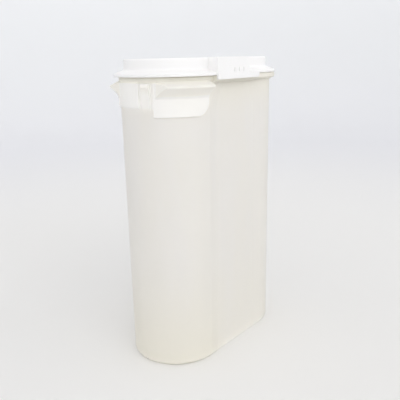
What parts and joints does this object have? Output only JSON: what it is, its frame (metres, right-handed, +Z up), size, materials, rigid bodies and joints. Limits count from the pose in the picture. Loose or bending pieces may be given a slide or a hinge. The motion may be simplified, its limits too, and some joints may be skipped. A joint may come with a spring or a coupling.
{
  "type": "plastic storage jar",
  "caption": "Tall slim oblong storage jar of frosted plastic with a rounded collar of grips at one end and a white press-on lid with a side tab.",
  "frame": {"origin": "centre of the base, on the surface that the jar stands on", "axes": "+Z up, X along the long side with the grip collar at the -X end, and the lid's tab on the -Y side"},
  "size_m": [0.16, 0.0924, 0.2453],
  "materials": {
    "frosted_plastic": "frosted, milky translucent",
    "white_plastic": "opaque white, satin"
  },
  "bodies": {
    "root": {"container": "frosted_plastic", "lid": "white_plastic"}
  },
  "joints": []
}
